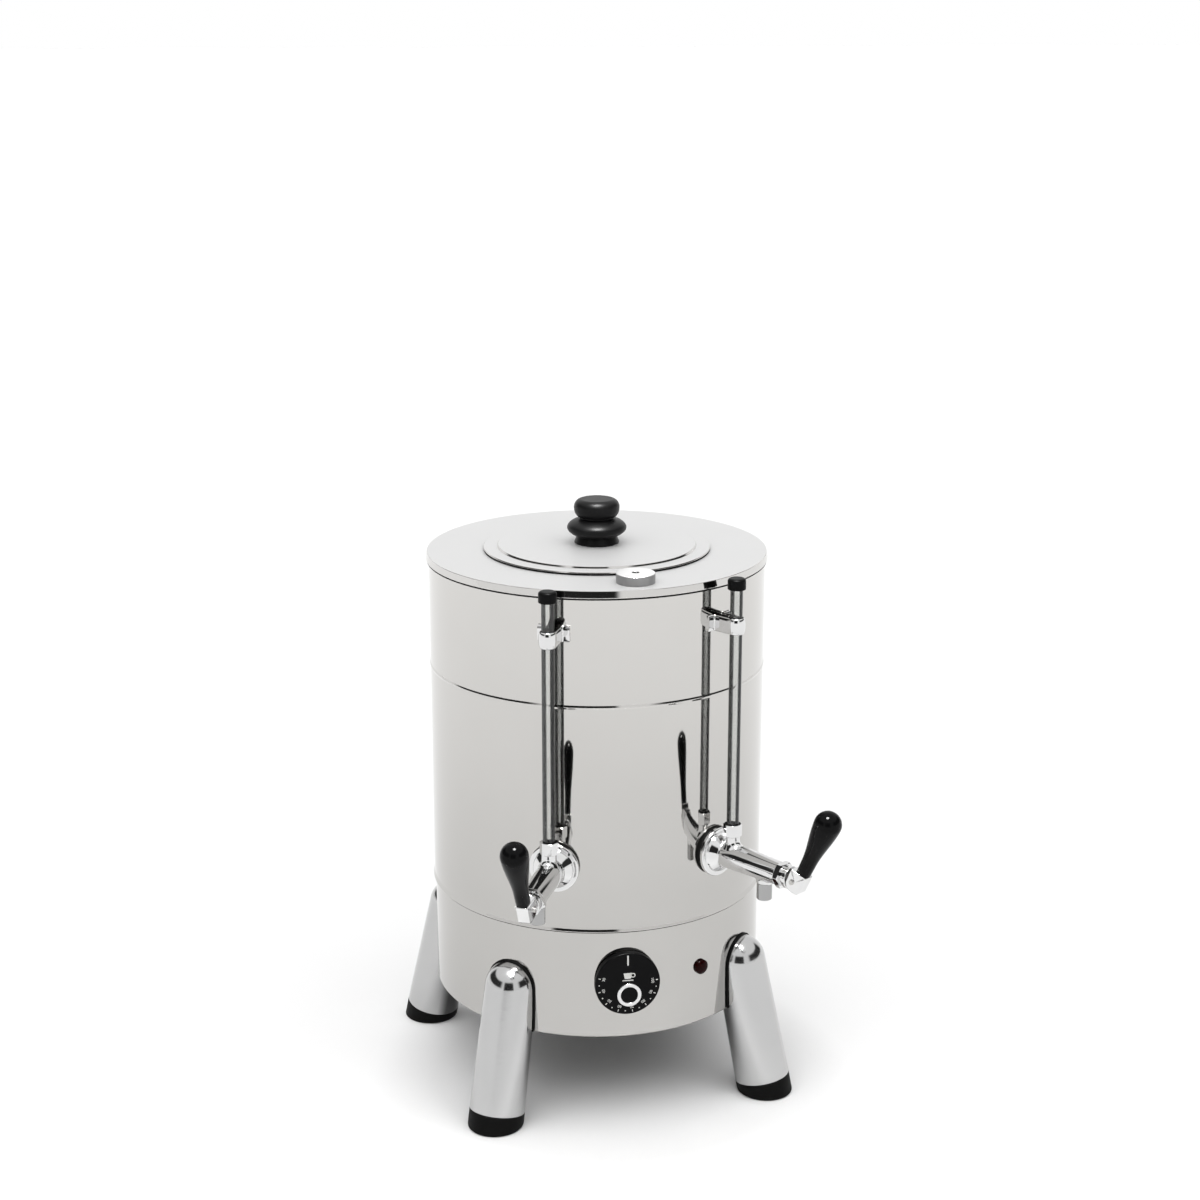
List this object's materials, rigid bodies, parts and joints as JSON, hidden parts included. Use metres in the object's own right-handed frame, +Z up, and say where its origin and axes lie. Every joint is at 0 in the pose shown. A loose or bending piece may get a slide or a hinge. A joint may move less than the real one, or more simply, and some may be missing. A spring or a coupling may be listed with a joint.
{
  "type": "coffee urn",
  "caption": "Polished steel coffee urn on splayed legs, with a lift-off lid and filter basket, a water filler, sight glasses, lever taps and a thermostat dial.",
  "frame": {"origin": "on the tank's axis, at the level of the worktop that the feet stand on", "axes": "+Z up along the tank's axis; -Y towards the front, between the taps; +X to the right as seen from the front"},
  "size_m": [0.3076, 0.3888, 0.4967],
  "materials": {
    "polished_steel": "mirror polished stainless steel",
    "satin_steel": "satin stainless steel",
    "leg_metal": "polished casting",
    "rubber": "matt moulded rubber",
    "black_bakelite": "gloss moulded phenolic",
    "black_plastic": "satin moulded plastic",
    "sight_glass": "clear drawn glass",
    "red_lens": "dark red translucent lens",
    "cream_plastic": "moulded plastic",
    "heater_sheath": "heat-darkened sheath",
    "wire_cover": "silicone wire cover"
  },
  "bodies": {
    "urn": {"tank_shell": "polished_steel", "deck": "polished_steel", "base_skirt": "polished_steel", "left_tap_body": "polished_steel", "right_tap_body": "polished_steel", "left_spout": "polished_steel", "right_spout": "polished_steel", "left_bonnet": "polished_steel", "right_bonnet": "polished_steel", "tube_nuts": "polished_steel", "tube_clips": "polished_steel", "tank_floor": "satin_steel", "filler_collar": "satin_steel", "coffee_vessel": "satin_steel", "coffee_pipe": "satin_steel", "bottom_plate": "satin_steel", "bottom_screws": "satin_steel", "element_nuts": "satin_steel", "thermostat_nut": "satin_steel", "leg_bolts": "satin_steel", "tap_locknuts": "satin_steel", "left_return_spring": "satin_steel", "right_return_spring": "satin_steel", "leg_front_left": "leg_metal", "leg_front_right": "leg_metal", "leg_back_left": "leg_metal", "leg_back_right": "leg_metal", "foot_front_left": "rubber", "foot_front_right": "rubber", "foot_back_left": "rubber", "foot_back_right": "rubber", "tap_gaskets": "rubber", "tube_caps": "black_plastic", "thermostat": "black_plastic", "cable_gland": "black_plastic", "gland_nut": "black_plastic", "left_sight_tube": "sight_glass", "right_sight_tube": "sight_glass", "pilot_lens": "red_lens", "pilot_body": "cream_plastic", "terminal_block": "cream_plastic", "heating_element": "heater_sheath", "wiring": "wire_cover"},
    "basket": {"filter_basket": "satin_steel"},
    "lid": {"lid": "polished_steel", "lid_knob": "black_bakelite", "knob_screw": "satin_steel"},
    "filler_cap": {"filler_cap": "polished_steel"},
    "dial": {"dial": "black_plastic", "thermostat_shaft": "satin_steel"},
    "left_stem": {"left_stem": "satin_steel", "left_seat_washer": "rubber"},
    "right_stem": {"right_stem": "satin_steel", "right_seat_washer": "rubber"},
    "left_lever": {"left_lever": "polished_steel", "left_lever_pin": "satin_steel", "left_grip": "black_bakelite"},
    "right_lever": {"right_lever": "polished_steel", "right_lever_pin": "satin_steel", "right_grip": "black_bakelite"}
  },
  "joints": [
    {"name": "basket_lift", "type": "slide", "parent": "urn", "child": "basket", "axis": [0, 0, 1], "range_m": [0, 0.16]},
    {"name": "lid_lift", "type": "slide", "parent": "basket", "child": "lid", "axis": [0, 0, 1], "range_m": [0, 0.12]},
    {"name": "filler_cap_lift", "type": "slide", "parent": "urn", "child": "filler_cap", "axis": [0, 0, 1], "range_m": [0, 0.05]},
    {"name": "dial_turn", "type": "hinge", "parent": "urn", "child": "dial", "pos_m": [-0.01238, -0.14146, 0.1265], "axis": [0.0872, 0.9962, 0], "range_deg": [0, 270]},
    {"name": "left_stem_slide", "type": "slide", "parent": "urn", "child": "left_stem", "axis": [-0.481, -0.8767, 0], "range_m": [0, 0.003], "deforming": ["left_return_spring"]},
    {"name": "left_lever_turn", "type": "hinge", "parent": "left_stem", "child": "left_lever", "pos_m": [-0.10979, -0.20011, 0.226], "axis": [0.8767, -0.481, 0], "range_deg": [0, 60], "stiffness_Nm_per_rad": 0.15, "springref_deg": -28.65},
    {"name": "right_stem_slide", "type": "slide", "parent": "urn", "child": "right_stem", "axis": [0.481, -0.8767, 0], "range_m": [0, 0.003], "deforming": ["right_return_spring"]},
    {"name": "right_lever_turn", "type": "hinge", "parent": "right_stem", "child": "right_lever", "pos_m": [0.10979, -0.20011, 0.226], "axis": [0.8767, 0.481, 0], "range_deg": [0, 60], "stiffness_Nm_per_rad": 0.15, "springref_deg": -28.65}
  ],
  "couplings": [
    {"joint": "left_stem_slide", "follows": "left_lever_turn", "m_per_rad": 0.0028648},
    {"joint": "right_stem_slide", "follows": "right_lever_turn", "m_per_rad": 0.0028648}
  ]
}
